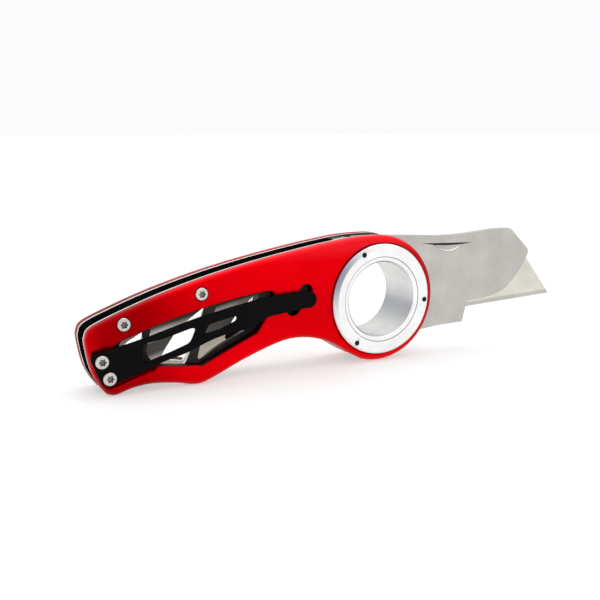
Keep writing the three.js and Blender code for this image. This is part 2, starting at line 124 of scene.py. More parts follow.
soft_box("overhead_box", (0.12, 0.2, 0.7), (0, 0, 0.02), 0.5, 1.0)

camera = stood("camera", bpy.data.cameras.new("camera"))
camera.data.lens = 54.1
camera.data.sensor_width = 36
camera.data.clip_start = 0.01
camera.location = ring_axis + Vector((-145.8, -237.0, 52.2)) * MM
camera.rotation_euler = (math.radians(79.02), 0, math.radians(-27.20))
bpy.context.scene.camera = camera
bpy.context.scene.view_settings.view_transform = "Standard"


# ------------------------------------------------------------ scales
# Two plates of aluminium, milled with a rounded outer edge and a long window, then dyed red in
# the anodising bath. They are screwed through the liners to the standoffs, one on each side.
SAME_SPOT = 0.002
STRAIGHT, SHARP = math.radians(0.1), math.radians(24)
LEAST_MITRE = 0.6


def outlines(node, y, straighten=None):
    """The closed outlines of a CAD node cut through at y, in millimetres from the ring's axis."""
    form = bmesh.new()
    form.from_mesh(frame["nodes"][node].data)
    if straighten:
        form.transform(straighten)
    bmesh.ops.remove_doubles(form, verts=form.verts, dist=SAME_SPOT * MM)
    bmesh.ops.bisect_plane(form, geom=form.verts[:] + form.edges[:] + form.faces[:],
                           plane_co=(0, ring_axis.y + y * MM, 0), plane_no=(0, 1, 0),
                           clear_inner=True, clear_outer=True, dist=1e-9)
    left = dict.fromkeys(form.verts)
    loops = []
    while left:
        loop = [next(iter(left))]
        while loop[-1] in left:
            del left[loop[-1]]
            ahead = [edge.other_vert(loop[-1]) for edge in loop[-1].link_edges]
            loop += [vert for vert in ahead if vert in left][:1]
        loops.append([Vector((vert.co.x - ring_axis.x, vert.co.z - ring_axis.z)) / MM
                      for vert in loop])
    form.free()
    return loops


def turn_at(before, here, after):
    return abs((after - here).angle_signed(here - before, 0.0))


def arced(before, here, after, radius, steps):
    """The points that take a corner's place when it is rounded."""
    start, end = (here + (p - here).normalized() * min(radius, 0.4 * (p - here).length)
                  for p in (before, after))
    shares = [step / steps for step in range(steps + 1)]
    return [start * (1 - t) ** 2 + here * (2 * t * (1 - t)) + end * t * t for t in shares]


def cornered(loop, radius, steps=3):
    """The loop without points on its straights, and with its sharp corners rounded."""
    loop = [p for i, p in enumerate(loop) if (p - loop[i - 1]).length > SAME_SPOT / 2]
    bends = [p for i, p in enumerate(loop)
             if turn_at(loop[i - 1], p, loop[(i + 1) % len(loop)]) > STRAIGHT]
    out = []
    for i, here in enumerate(bends):
        around = bends[i - 1], here, bends[(i + 1) % len(bends)]
        out += [here] if turn_at(*around) < SHARP else arced(*around, radius, steps)
    return out


def signed_area(loop):
    return sum(a.x * b.y - b.x * a.y for a, b in zip(loop, loop[1:] + loop[:1])) / 2


def into_metal(loop):
    """At each point of the loop, the sideways move that takes both edges in by one millimetre."""
    moves = []
    for i, here in enumerate(loop):
        into = (here - loop[i - 1]).normalized()
        out = (loop[(i + 1) % len(loop)] - here).normalized()
        middle = (into + out).normalized()
        moves.append(Vector((-middle.y, middle.x)) / max(LEAST_MITRE, middle.dot(out)))
    return moves


def plate(form, loops, low, high, edge, corner=0.15, steps=4):
    """Adds a plate from y = low to high to the form, the largest loop being its outside.

    edge gives how far each edge is rounded, from its point, its side and whether it is a hole."""
    loops = sorted((cornered(loop, corner) for loop in loops), key=lambda q: -abs(signed_area(q)))
    lean = form.verts.layers.float_vector.get("lean") or form.verts.layers.float_vector.new("lean")
    caps = {low: [], high: []}
    for order, loop in enumerate(loops):
        if (signed_area(loop) > 0) != (order == 0):
            loop = loop[::-1]
        moves = into_metal(loop)
        rows = []
        for side, end, inward in ((-1, low, 1), (1, high, -1)):
            for k in range(steps + 1):
                share = (k if side < 0 else steps - k) / steps if steps else 1.0
                turn = math.pi / 2 * share
                row = []
                for spot, move in zip(loop, moves):
                    r = edge(spot, side, order > 0)
                    place = spot + move * r * (1 - math.sin(turn))
                    vert = form.verts.new(ring_axis + Vector(
                        (place.x, end + inward * r * (1 - math.cos(turn)), place.y)) * MM)
                    outward = -move.normalized() * math.sin(turn)
                    vert[lean] = Vector((outward.x, side * math.cos(turn), outward.y))
                    row.append(vert)
                rows.append(row)
        for row, after in zip(rows, rows[1:]):
            for i in range(len(loop)):
                form.faces.new((row[i], row[i - 1], after[i - 1], after[i]))
        for cap, row in ((low, rows[0]), (high, rows[-1])):
            caps[cap] += [form.edges.get((row[i - 1], row[i])) for i in range(len(loop))]
    for cap, side in ((low, -1), (high, 1)):
        bmesh.ops.triangle_fill(form, use_beauty=True, edges=caps[cap], normal=(0, side, 0))


def bridged(form, rows, lids=False):
    """Adds the faces between each row of points and the next, and lids on the two end rows."""
    for row, after in zip(rows, rows[1:]):
        for i in range(len(row)):
            form.faces.new((row[i - 1], row[i], after[i], after[i - 1]))
    if lids:
        form.faces.new(rows[0])
        form.faces.new(rows[-1])


def meshed(name, form, smooth=True):
    bmesh.ops.recalc_face_normals(form, faces=form.faces)
    mesh = bpy.data.meshes.new(name)
    form.to_mesh(mesh)
    form.free()
    for face in mesh.polygons:
        face.use_smooth = smooth
    return mesh


def made(name, form):
    """The form as a piece, shaded by the lean of the surface that each point was given."""
    lean = form.verts.layers.float_vector["lean"]
    leans = [tuple(vert[lean]) for vert in form.verts]
    form.verts.layers.float_vector.remove(lean)
    mesh = meshed(name, form)
    mesh.normals_split_custom_set_from_vertices(leans)
    return stood(name, mesh)


def span(node):
    """How far a CAD node reaches in y, in millimetres from the middle plane."""
    return [(corner.y - ring_axis.y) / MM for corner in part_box(node)]


def fit(piece, body, material, slot, *nodes):
    """Gives a piece its material, the body it moves with and the nodes that it stands for."""
    piece.data.materials.append(material)
    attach(piece, body)
    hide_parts(*nodes)


def socket(tree, name, direction, default=None):
    made_socket = tree.interface.new_socket(name, in_out=direction, socket_type="NodeSocketFloat")
    if default is not None:
        made_socket.default_value = default


# The surface of any metal or plastic: a fine grain, and broad clouds where it varies.
surface_grain = bpy.data.node_groups.new("surface_grain", "ShaderNodeTree")
socket(surface_grain, "Grain mm", "INPUT", 0.12)
socket(surface_grain, "Cloud mm", "INPUT", 9.0)
socket(surface_grain, "Grain", "OUTPUT")
socket(surface_grain, "Cloud", "OUTPUT")
grain_in = put(surface_grain, "NodeGroupInput")
grain_out = put(surface_grain, "NodeGroupOutput")
where = put(surface_grain, "ShaderNodeTexCoord")
for size_name, out_name, detail in (("Grain mm", "Grain", 2.0), ("Cloud mm", "Cloud", 4.0)):
    per_metre = put(surface_grain, "ShaderNodeMath", operation="DIVIDE")
    per_metre.inputs[0].default_value = 1 / MM
    noise = put(surface_grain, "ShaderNodeTexNoise")
    noise.inputs["Detail"].default_value = detail
    surface_grain.links.new(grain_in.outputs[size_name], per_metre.inputs[1])
    surface_grain.links.new(where.outputs["Object"], noise.inputs["Vector"])
    surface_grain.links.new(per_metre.outputs[0], noise.inputs["Scale"])
    surface_grain.links.new(noise.outputs["Fac"], grain_out.inputs[out_name])


def placed(tree, group, **values):
    node = put(tree, "ShaderNodeGroup", node_tree=group)
    for key, value in values.items():
        node.inputs[key.replace("_", " ")].default_value = value
    return node


def mapped(tree, value, start, end, low=0.0, high=1.0):
    """A number that runs from low to high as the value runs from start to end."""
    ramp = put(tree, "ShaderNodeMapRange")
    for name, number in (("From Min", start), ("From Max", end), ("To Min", low), ("To Max", high)):
        ramp.inputs[name].default_value = number
    tree.links.new(value, ramp.inputs["Value"])
    return ramp.outputs["Result"]


def between(tree, noise, low, high):
    """A number from low to high, for noise that keeps mostly between 0.3 and 0.7."""
    return mapped(tree, noise, 0.3, 0.7, low, high)


def shaded(tree, factor, dark, light):
    """A colour between dark and light, by a factor."""
    mix = put(tree, "ShaderNodeMix", data_type="RGBA")
    mix.inputs["A"].default_value = (*dark, 1)
    mix.inputs["B"].default_value = (*light, 1)
    tree.links.new(between(tree, factor, 0.0, 1.0), mix.inputs["Factor"])
    return mix.outputs["Result"]


def from_ring_axis(tree):
    """How far a point lies from the middle of the ring, as sockets named X, Y and Z."""
    place = put(tree, "ShaderNodeTexCoord")
    centred = put(tree, "ShaderNodeVectorMath", operation="SUBTRACT")
    centred.inputs[1].default_value = ring_axis
    parts = put(tree, "ShaderNodeSeparateXYZ")
    tree.links.new(place.outputs["Object"], centred.inputs[0])
    tree.links.new(centred.outputs[0], parts.inputs[0])
    return parts.outputs


def bumped(tree, bsdf, height, depth):
    """Raises the surface by depth millimetres where the height is 1."""
    bump = put(tree, "ShaderNodeBump")
    bump.inputs["Distance"].default_value = depth * MM
    tree.links.new(height, bump.inputs["Height"])
    tree.links.new(bump.outputs["Normal"], bsdf.inputs["Normal"])


# How far a point lies along the handle, up it, and in from the outer faces, each from 0 to 1.
handle_place = bpy.data.node_groups.new("handle_place", "ShaderNodeTree")
for name in ("Along", "Up", "Depth"):
    socket(handle_place, name, "OUTPUT")
place_out = put(handle_place, "NodeGroupOutput")
parts = from_ring_axis(handle_place)
away = put(handle_place, "ShaderNodeMath", operation="ABSOLUTE")
handle_place.links.new(parts["Y"], away.inputs[0])
BUTT, RING_TIP, OUTER_FACE, INNER_FACE = -91, 19.5, 7.35, 4.1
for source, name, start, end in ((parts["X"], "Along", BUTT, RING_TIP),
                                 (parts["Z"], "Up", -RING_TIP, RING_TIP),
                                 (away.outputs[0], "Depth", OUTER_FACE, INNER_FACE)):
    handle_place.links.new(mapped(handle_place, source, start * MM, end * MM),
                           place_out.inputs[name])


def blended(tree, kind, factor, first, second):
    """Two colours mixed; each of the three may be a socket or a plain value."""
    mix = put(tree, "ShaderNodeMix", data_type="RGBA", blend_type=kind)
    for value, name in ((factor, "Factor"), (first, "A"), (second, "B")):
        if isinstance(value, bpy.types.NodeSocket):
            tree.links.new(value, mix.inputs[name])
        else:
            mix.inputs[name].default_value = value
    return mix.outputs["Result"]


def toned(tree, value, *stops):
    """A grey for the value, by stops of its position and tone."""
    ramp = put(tree, "ShaderNodeValToRGB")
    ramp.color_ramp.interpolation = "EASE"
    while len(ramp.color_ramp.elements) < len(stops):
        ramp.color_ramp.elements.new(0.5)
    for stop, (position, grey) in zip(ramp.color_ramp.elements, stops):
        stop.position, stop.color = position, (grey, grey, grey, 1)
    tree.links.new(value, ramp.inputs["Fac"])
    return ramp.outputs["Color"]


# Painted light and shade: the red is darker towards the butt, across the middle of its height
# and round the tip of the ring, with a pale painted highlight added along the spine.
red_anodised, tree, bsdf = new_material("red_anodised")
texture = placed(tree, surface_grain, Grain_mm=0.09, Cloud_mm=14.0)
spot = placed(tree, handle_place)
dye_and_painted_shading = shaded(tree, texture.outputs["Cloud"], (0.82, 0.0, 0.003), (0.92, 0.0003, 0.005))
dye_and_painted_shading = blended(tree, "MULTIPLY", 1.0, dye_and_painted_shading,
              toned(tree, spot.outputs["Along"], (0.0, 0.75), (0.05, 0.5), (0.12, 0.46),
                    (0.28, 0.85), (0.45, 1.0), (0.85, 0.97), (1.0, 0.62)))
dye_and_painted_shading = blended(tree, "MULTIPLY", 1.0, dye_and_painted_shading,
              toned(tree, spot.outputs["Up"], (0.13, 0.95), (0.42, 0.74), (0.8, 0.88)))
dye_and_painted_shading = blended(tree, "ADD", toned(tree, spot.outputs["Up"], (0.82, 0.0), (0.96, 1.0)), dye_and_painted_shading,
              (0.10, 0.012, 0.016, 1))
tree.links.new(dye_and_painted_shading, bsdf.inputs["Base Color"])
tree.links.new(between(tree, texture.outputs["Cloud"], 0.36, 0.44), bsdf.inputs["Roughness"])
bumped(tree, bsdf, texture.outputs["Grain"], 0.006)
bsdf.inputs["Metallic"].default_value = 1.0

# Painted shade: the walls of the window, the seats of the screw heads and the inner face are a
# dark red that turns almost black towards the liner.
window_wall_painted_shade, tree, bsdf = new_material("window_wall_painted_shade")
texture = placed(tree, surface_grain, Grain_mm=0.15, Cloud_mm=4.0)
spot = placed(tree, handle_place)
dye_and_painted_shading = shaded(tree, texture.outputs["Cloud"], (0.30, 0.0, 0.001), (0.38, 0.0002, 0.002))
dye_and_painted_shading = blended(tree, "MULTIPLY", 1.0, dye_and_painted_shading,
              toned(tree, spot.outputs["Depth"], (0.05, 1.0), (0.3, 0.12), (0.6, 0.02)))
tree.links.new(dye_and_painted_shading, bsdf.inputs["Base Color"])
tree.links.new(between(tree, texture.outputs["Cloud"], 0.5, 0.6), bsdf.inputs["Roughness"])
bumped(tree, bsdf, texture.outputs["Grain"], 0.01)
bsdf.inputs["Specular IOR Level"].default_value = 0.1


def even(radius):
    return lambda spot, end, hole: radius


def sheet(name, loops, low, high, rounding, steps=2):
    """A flat piece with every edge rounded alike."""
    form = bmesh.new()
    plate(form, loops, low, high, even(rounding), steps=steps)
    return made(name, form)


SHARP_EDGE = math.radians(40)


def shaped(name, form):
    """The form as a piece whose faces meet smoothly where they turn little."""
    return smoothed(stood(name, meshed(name, form)))


def smoothed(piece):
    for face in piece.data.polygons:
        face.use_smooth = True
    piece.data.set_sharp_from_angle(angle=SHARP_EDGE)
    piece.modifiers.new("level_faces", "WEIGHTED_NORMAL").keep_sharp = True
    return piece


def less(piece, *cutters):
    """Cuts each of the cutters away from the piece."""
    piece.modifiers.clear()
    for cutter in cutters:
        cut = piece.modifiers.new(cutter.name, "BOOLEAN")
        cut.object = cutter
        cut.solver = "EXACT"
        cut.use_self = True
    settled = piece.evaluated_get(bpy.context.evaluated_depsgraph_get())
    piece.data = bpy.data.meshes.new_from_object(settled)
    piece.modifiers.clear()
    for cutter in cutters:
        bpy.data.objects.remove(cutter)
    return smoothed(piece)


def from_loop(spot, loop):
    """How far a spot is from a closed outline."""
    gaps = []
    for start, end in zip(loop, loop[1:] + loop[:1]):
        side = end - start
        share = (spot - start).dot(side) / max(side.length_squared, 1e-12)
        gaps.append((start + side * min(1.0, max(0.0, share)) - spot).length)
    return min(gaps)


def cutter(name, loops, low, high):
    form = bmesh.new()
    for loop in loops:
        plate(form, [loop], low, high, even(0.0), steps=0)
    return shaped(name, form)


def round_bend(x, z, radius, start, end, steps=12):
    turns = [math.radians(start + (end - start) * i / steps) for i in range(steps + 1)]
    return [Vector((x + radius * math.cos(a), z + radius * math.sin(a))) for a in turns]


def drilling(x, z, radius, steps=48):
    return round_bend(x, z, radius, 0, 360 - 360 / steps, steps - 1)


SCALE_EDGE, WINDOW_EDGE, INNER_EDGE = 2.0, 0.3, 0.1
LEAST_OPENING, WALL_BAND, GAP = 5.0, 0.35, 0.02
# The cutters reach from inside the inner face of a scale to well clear of its outer one.
CUT_IN, CUT_OUT = 3, 12
RING_SEAT_R, RING_SEAT, SLEEVE_HOLE_R = 17.35, 5.5, 13.1
HEAD_SEAT_R, HEAD_SUNK, SHANK_HOLE_R = 2.08, 0.6, 1.15
POCKET_DEEP = 0.55
pad_pocket = [*round_bend(-85.0, -14.1, 2.85, 270, 205), *round_bend(-88.2, -8.6, 1.95, 195, 115),
              Vector((-68.0, -1.5)), Vector((-68.0, -11.5))]
SCREW_NAMES = ("clip_lower", "clip_upper", "butt", "middle")
screw_places = []
for name in SCREW_NAMES:
    low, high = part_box(name + "_standoff")
    middle = ((low + high) / 2 - ring_axis) / MM
    screw_places.append((middle.x, middle.z))

for side, node in ((-1, "front_scale"), (1, "rear_scale")):
    low, high = span(node)
    inner, outer = (high, low) if side < 0 else (low, high)

    def soft(spot, end, hole, side=side):
        if end != side:
            return INNER_EDGE
        return WINDOW_EDGE if hole else SCALE_EDGE

    # The outside, the window and the slot: every outline that is not round a screw or the sleeve.
    wide = [loop for loop in outlines(node, inner + side * 0.2)
            if max((spot - loop[0]).length for spot in loop) > LEAST_OPENING
            and max(spot.length for spot in loop) > RING_SEAT_R]
    openings = sorted(wide, key=lambda loop: abs(signed_area(loop)))[:-1]
    form = bmesh.new()
    plate(form, wide, low, high, soft, steps=5)
    cutters = [
        cutter(name, holes, *sorted((start, side * CUT_OUT))) for name, holes, start in (
            ("ring_seat_cut", [drilling(0, 0, RING_SEAT_R, 128)], side * RING_SEAT),
            ("sleeve_cut", [drilling(0, 0, SLEEVE_HOLE_R, 96)], side * CUT_IN),
            ("shank_cuts", [drilling(*place, SHANK_HOLE_R, 24) for place in screw_places],
             side * CUT_IN),
            ("head_cuts", [drilling(*place, HEAD_SEAT_R, 32) for place in screw_places],
             outer - side * HEAD_SUNK))]
    if side < 0:
        cutters.append(cutter("pad_pocket_cut", [pad_pocket], -CUT_OUT, outer + POCKET_DEEP))
    scale_piece = less(shaped(node + "_plate", form), *cutters)
    fit(scale_piece, "handle", red_anodised, "red_anodised", node)
    # Painted shade on the window's walls, round the screw seats and on the scale's inner face.
    scale_piece.data.materials.append(window_wall_painted_shade)
    for face in scale_piece.data.polygons:
        spot = (face.center - ring_axis) / MM
        here = Vector((spot.x, spot.z))
        inside = abs(spot.y) < abs(inner) + GAP
        in_seat = abs(spot.y) < abs(outer) - 0.05 and any(
            (here - Vector(place)).length < HEAD_SEAT_R + GAP for place in screw_places)
        on_wall = abs(face.normal.y) < 0.75 and any(
            from_loop(here, loop) < WALL_BAND for loop in openings)
        face.material_index = 1 if in_seat or on_wall or inside else 0


# ------------------------------------------------------------ liners and lock bar
# Thin stainless sheet, cut out to save weight and left with its rolled finish. The lock bar is
# a tongue of the front liner, bent inwards so that it springs behind the tang.
def line_group(name, along):
    """Fine lines that run along one axis, as rolling or grinding leaves them."""
    group = bpy.data.node_groups.new(name, "ShaderNodeTree")
    socket(group, "Length mm", "INPUT", 14.0)
    socket(group, "Width mm", "INPUT", 0.12)
    socket(group, "Lines", "OUTPUT")
    lines_in = put(group, "NodeGroupInput")
    lines_out = put(group, "NodeGroupOutput")
    place = put(group, "ShaderNodeTexCoord")
    parts = put(group, "ShaderNodeSeparateXYZ")
    squeezed = put(group, "ShaderNodeCombineXYZ")
    group.links.new(place.outputs["Object"], parts.inputs[0])
    for axis in "XYZ":
        to_mm = put(group, "ShaderNodeMath", operation="DIVIDE")
        to_mm.inputs[1].default_value = MM
        shrink = put(group, "ShaderNodeMath", operation="DIVIDE")
        size = lines_in.outputs["Length mm" if axis == along else "Width mm"]
        group.links.new(parts.outputs[axis], to_mm.inputs[0])
        group.links.new(to_mm.outputs[0], shrink.inputs[0])
        group.links.new(size, shrink.inputs[1])
        group.links.new(shrink.outputs[0], squeezed.inputs[axis])
    streaks = put(group, "ShaderNodeTexNoise")
    streaks.inputs["Scale"].default_value = 1.0
    streaks.inputs["Detail"].default_value = 3.0
    group.links.new(squeezed.outputs[0], streaks.inputs["Vector"])
    group.links.new(streaks.outputs["Fac"], lines_out.inputs["Lines"])
    return group


drawn_lines = line_group("drawn_lines", "X")


FAINT = 0.95


def lined_steel(name, dark, light, smooth, rough, length=14.0, width=0.12, depth=0.004,
                group=drawn_lines):
    material, tree, bsdf = new_material(name)
    lines = placed(tree, group, Length_mm=length, Width_mm=width)
    cloud = placed(tree, surface_grain, Grain_mm=0.1, Cloud_mm=11.0)
    colour = blended(tree, "MULTIPLY", 1.0, shaded(tree, cloud.outputs["Cloud"], dark, light),
                     toned(tree, lines.outputs["Lines"], (0.35, FAINT), (0.65, 1.0)))
    tree.links.new(colour, bsdf.inputs["Base Color"])
    tree.links.new(between(tree, lines.outputs["Lines"], smooth, rough), bsdf.inputs["Roughness"])
    bumped(tree, bsdf, lines.outputs["Lines"], depth)
    bsdf.inputs["Metallic"].default_value = 1.0
    return material


liner_steel = lined_steel("liner_steel", (0.80, 0.78, 0.72), (0.88, 0.86, 0.81), 0.2, 0.34)

# Painted shade: the front faces of the front liner and its lock bar are painted almost black,
# turning olive towards the top, as shade falls on them behind the window and the clip. They stay
# bright where they were cut out.
painted_front_shade, tree, bsdf = new_material("front_liner_painted_shade")
lines = placed(tree, drawn_lines, Length_mm=10.0, Width_mm=0.15)
cloud = placed(tree, surface_grain, Grain_mm=0.1, Cloud_mm=5.0)
spot = placed(tree, handle_place)
painted_liner_shade = shaded(tree, cloud.outputs["Cloud"], (0.012, 0.011, 0.010), (0.030, 0.027, 0.022))
painted_liner_shade = blended(tree, "MIX", toned(tree, spot.outputs["Up"], (0.36, 0.0), (0.62, 1.0)), painted_liner_shade,
                (0.085, 0.078, 0.055, 1))
tree.links.new(painted_liner_shade, bsdf.inputs["Base Color"])
tree.links.new(between(tree, lines.outputs["Lines"], 0.35, 0.5), bsdf.inputs["Roughness"])
bumped(tree, bsdf, lines.outputs["Lines"], 0.004)
bsdf.inputs["Specular IOR Level"].default_value = 0.15


# Painted reflection: dark bands that lean like the clip are painted on the rear liner's front
# face, where it mirrors the clip's dark bars and the window's edge.
painted_reflection_steel = lined_steel("painted_reflection_steel", (0.90, 0.87, 0.76), (0.98, 0.95, 0.86), 0.35, 0.5)
tree = painted_reflection_steel.node_tree
bsdf = tree.nodes["Principled BSDF"]
bsdf.inputs["Metallic"].default_value = 0.6
clean = bsdf.inputs["Base Color"].links[0].from_socket
spot = placed(tree, handle_place)
leant = put(tree, "ShaderNodeMath", operation="MULTIPLY_ADD")
BAND_LEAN = -0.68
leant.inputs[1].default_value = BAND_LEAN
tree.links.new(spot.outputs["Along"], leant.inputs[0])
tree.links.new(spot.outputs["Up"], leant.inputs[2])
painted_reflection_bands = toned(tree, leant.outputs[0], (0.02, 1.0), (0.085, 0.13), (0.15, 0.11), (0.185, 1.0),
              (0.22, 0.9), (0.265, 0.08))
tree.links.new(blended(tree, "MULTIPLY", 1.0, clean, painted_reflection_bands), bsdf.inputs["Base Color"])


def shade_front_faces(piece, material):
    """Gives the faces that look out on the clip's side a second material, which holds painted
    shade.
    """
    piece.data.materials.append(material)
    for face in piece.data.polygons:
        face.material_index = 1 if face.normal.y < -0.9 else 0


SHEET_EDGE = 0.1
for node in ("front_liner", "rear_liner"):
    low, high = span(node)
    liner = sheet(node + "_sheet", outlines(node, (low + high) / 2), low, high, SHEET_EDGE)
    fit(liner, "handle", liner_steel, "liner_steel", node)
    # Painted shade on the front liner, and painted reflection on the rear liner, on their clip-side
    # faces.
    shade_front_faces(liner, painted_front_shade if node == "front_liner" else painted_reflection_steel)

liner_low, liner_high = span("front_liner")
bar_hinge = next(joint for joint in frame["joints"] if joint["name"] == "lock_press")
bar_pivot = Vector(bar_hinge["pos_m"])
BAR_BENT, BAR_THINNED = math.radians(2.5), 0.05
bar_bend = Matrix.Rotation(BAR_BENT, 4, "Z")
bar_turn = Matrix.Translation(bar_pivot) @ bar_bend @ Matrix.Translation(-bar_pivot)
lock_tongue = sheet("lock_bar_tongue",
                    outlines("lock_bar", (liner_low + liner_high) / 2, bar_turn.inverted()),
                    liner_low + BAR_THINNED, liner_high, SHEET_EDGE)
lock_tongue.data.transform(bar_turn)
fit(lock_tongue, "lock", liner_steel, "liner_steel", "lock_bar")
shade_front_faces(lock_tongue, painted_front_shade)


# ------------------------------------------------------------ spacer, stop block and standoffs
# A moulded black nylon strip keeps the liners apart along the spine and the butt. The steel
# stop block takes the push of the opened blade, and steel standoffs take the screws.
black_nylon, tree, bsdf = new_material("black_nylon")
texture = placed(tree, surface_grain, Grain_mm=0.25, Cloud_mm=8.0)
colour = shaded(tree, texture.outputs["Cloud"], (0.0015, 0.0015, 0.0018), (0.004, 0.004, 0.0045))
tree.links.new(colour, bsdf.inputs["Base Color"])
tree.links.new(between(tree, texture.outputs["Cloud"], 0.6, 0.8), bsdf.inputs["Roughness"])
bumped(tree, bsdf, texture.outputs["Grain"], 0.02)
bsdf.inputs["Specular IOR Level"].default_value = 0.0

plated_steel = lined_steel("plated_steel", (0.50, 0.49, 0.46), (0.66, 0.65, 0.62), 0.2, 0.32,
                           length=0.4, width=0.2, depth=0.002)
solid_fillers = [("back_spacer", black_nylon, "black_plastic", 0.25),
                 ("stop_block", plated_steel, "screw_steel", 0.15)]
solid_fillers += [(name + "_standoff", plated_steel, "screw_steel", 0.1)
                  for name in SCREW_NAMES]
for node, material, slot, edge in solid_fillers:
    filler = sheet(node + "_filler", outlines(node, 0), *span(node), edge, 3)
    fit(filler, "handle", material, slot, node)


# ------------------------------------------------------------ finger ring
# A tube of aluminium with a screwed ring at each end, all turned in a lathe and left bright.
# Fine circular tool marks show on the faces, and a pin spanner turns the rings by three holes.
def softened(corners, radius, steps=3):
    """A closed profile with its corners rounded, as a lathe hand breaks the edges with a file."""
    spots = [Vector(corner) for corner in corners]
    return [p for i, here in enumerate(spots)
            for p in arced(spots[i - 1], here, spots[(i + 1) % len(spots)], radius, steps)]


def spun(name, profile, steps=160):
    """A closed profile of (radius, y) in millimetres turned about the ring's axis."""
    form = bmesh.new()
    rows = []
    for step in range(steps):
        turn = math.tau * step / steps
        rows.append([form.verts.new(ring_axis + Vector(
            (r * math.cos(turn), y, r * math.sin(turn))) * MM) for r, y in profile])
    bridged(form, rows + rows[:1])
    return shaped(name, form)


def reach_from(tree, parts):
    """How far a point lies from the ring's axis, in metres."""
    flat = put(tree, "ShaderNodeCombineXYZ")
    reach = put(tree, "ShaderNodeVectorMath", operation="LENGTH")
    tree.links.new(parts["X"], flat.inputs["X"])
    tree.links.new(parts["Z"], flat.inputs["Y"])
    tree.links.new(flat.outputs[0], reach.inputs[0])
    return reach.outputs["Value"]


# Fine rings round the axis, as a lathe tool leaves them.
tool_marks = bpy.data.node_groups.new("tool_marks", "ShaderNodeTree")
socket(tool_marks, "Pitch mm", "INPUT", 0.1)
socket(tool_marks, "Marks", "OUTPUT")
marks_in = put(tool_marks, "NodeGroupInput")
marks_out = put(tool_marks, "NodeGroupOutput")
parts = from_ring_axis(tool_marks)
pair = put(tool_marks, "ShaderNodeCombineXYZ")
grown = put(tool_marks, "ShaderNodeVectorMath", operation="SCALE")
per_metre = put(tool_marks, "ShaderNodeMath", operation="DIVIDE")
per_metre.inputs[0].default_value = 1 / MM
marks = put(tool_marks, "ShaderNodeTexNoise")
marks.inputs["Scale"].default_value = 1.0
marks.inputs["Detail"].default_value = 2.0
for start, end in (
        (reach_from(tool_marks, parts), pair.inputs["X"]), (parts["Y"], pair.inputs["Y"]),
        (pair.outputs[0], grown.inputs[0]),
        (marks_in.outputs["Pitch mm"], per_metre.inputs[1]),
        (per_metre.outputs[0], grown.inputs["Scale"]), (grown.outputs[0], marks.inputs["Vector"]),
        (marks.outputs["Fac"], marks_out.inputs["Marks"])):
    tool_marks.links.new(start, end)


def turned_metal(name, dark, light, smooth, rough):
    material, tree, bsdf = new_material(name)
    rings = placed(tree, tool_marks, Pitch_mm=0.12)
    cloud = placed(tree, surface_grain, Grain_mm=0.1, Cloud_mm=6.0)
    tree.links.new(shaded(tree, cloud.outputs["Cloud"], dark, light), bsdf.inputs["Base Color"])
    tree.links.new(between(tree, rings.outputs["Marks"], smooth, rough), bsdf.inputs["Roughness"])
    bumped(tree, bsdf, rings.outputs["Marks"], 0.004)
    bsdf.inputs["Metallic"].default_value = 1.0
    return material


sleeve_aluminium = turned_metal(
    "sleeve_aluminium", (0.60, 0.60, 0.59), (0.72, 0.72, 0.71), 0.2, 0.32)
ring_aluminium = turned_metal(
    "ring_aluminium", (0.82, 0.815, 0.825), (0.92, 0.915, 0.92), 0.2, 0.32)

# Painted dark reflection: a patch that fades away round the ring's axis and starts at some distance
# from it.
dark_reflection_patch = bpy.data.node_groups.new("dark_reflection_patch", "ShaderNodeTree")
for name, default in (("Angle", 152.0), ("Spread", 58.0), ("Inner mm", 15.1), ("Outer mm", 15.7)):
    socket(dark_reflection_patch, name, "INPUT", default)
socket(dark_reflection_patch, "Rub", "OUTPUT")
patch_in = put(dark_reflection_patch, "NodeGroupInput")
patch_out = put(dark_reflection_patch, "NodeGroupOutput")
parts = from_ring_axis(dark_reflection_patch)
in_mm = put(dark_reflection_patch, "ShaderNodeMath", operation="DIVIDE")
in_mm.inputs[1].default_value = MM
bearing = put(dark_reflection_patch, "ShaderNodeMath", operation="ARCTAN2")
degrees = put(dark_reflection_patch, "ShaderNodeMath", operation="DEGREES")
off = put(dark_reflection_patch, "ShaderNodeMath", operation="SUBTRACT")
round_again = put(dark_reflection_patch, "ShaderNodeMath", operation="WRAP")
round_again.inputs[1].default_value, round_again.inputs[2].default_value = 180.0, -180.0
gap = put(dark_reflection_patch, "ShaderNodeMath", operation="ABSOLUTE")
fade = put(dark_reflection_patch, "ShaderNodeMapRange", interpolation_type="SMOOTHSTEP")
fade.inputs["From Min"].default_value = 0.0
fade.inputs["To Min"].default_value, fade.inputs["To Max"].default_value = 1.0, 0.0
outward = put(dark_reflection_patch, "ShaderNodeMapRange", interpolation_type="SMOOTHSTEP")
both = put(dark_reflection_patch, "ShaderNodeMath", operation="MULTIPLY")
for start, end in (
        (reach_from(dark_reflection_patch, parts), in_mm.inputs[0]),
        (parts["Z"], bearing.inputs[0]), (parts["X"], bearing.inputs[1]),
        (bearing.outputs[0], degrees.inputs[0]), (degrees.outputs[0], off.inputs[0]),
        (patch_in.outputs["Angle"], off.inputs[1]), (off.outputs[0], round_again.inputs[0]),
        (round_again.outputs[0], gap.inputs[0]),
        (gap.outputs[0], fade.inputs["Value"]), (patch_in.outputs["Spread"], fade.inputs["From Max"]),
        (in_mm.outputs[0], outward.inputs["Value"]),
        (patch_in.outputs["Inner mm"], outward.inputs["From Min"]),
        (patch_in.outputs["Outer mm"], outward.inputs["From Max"]),
        (fade.outputs["Result"], both.inputs[0]), (outward.outputs["Result"], both.inputs[1]),
        (both.outputs[0], patch_out.inputs["Rub"])):
    dark_reflection_patch.links.new(start, end)


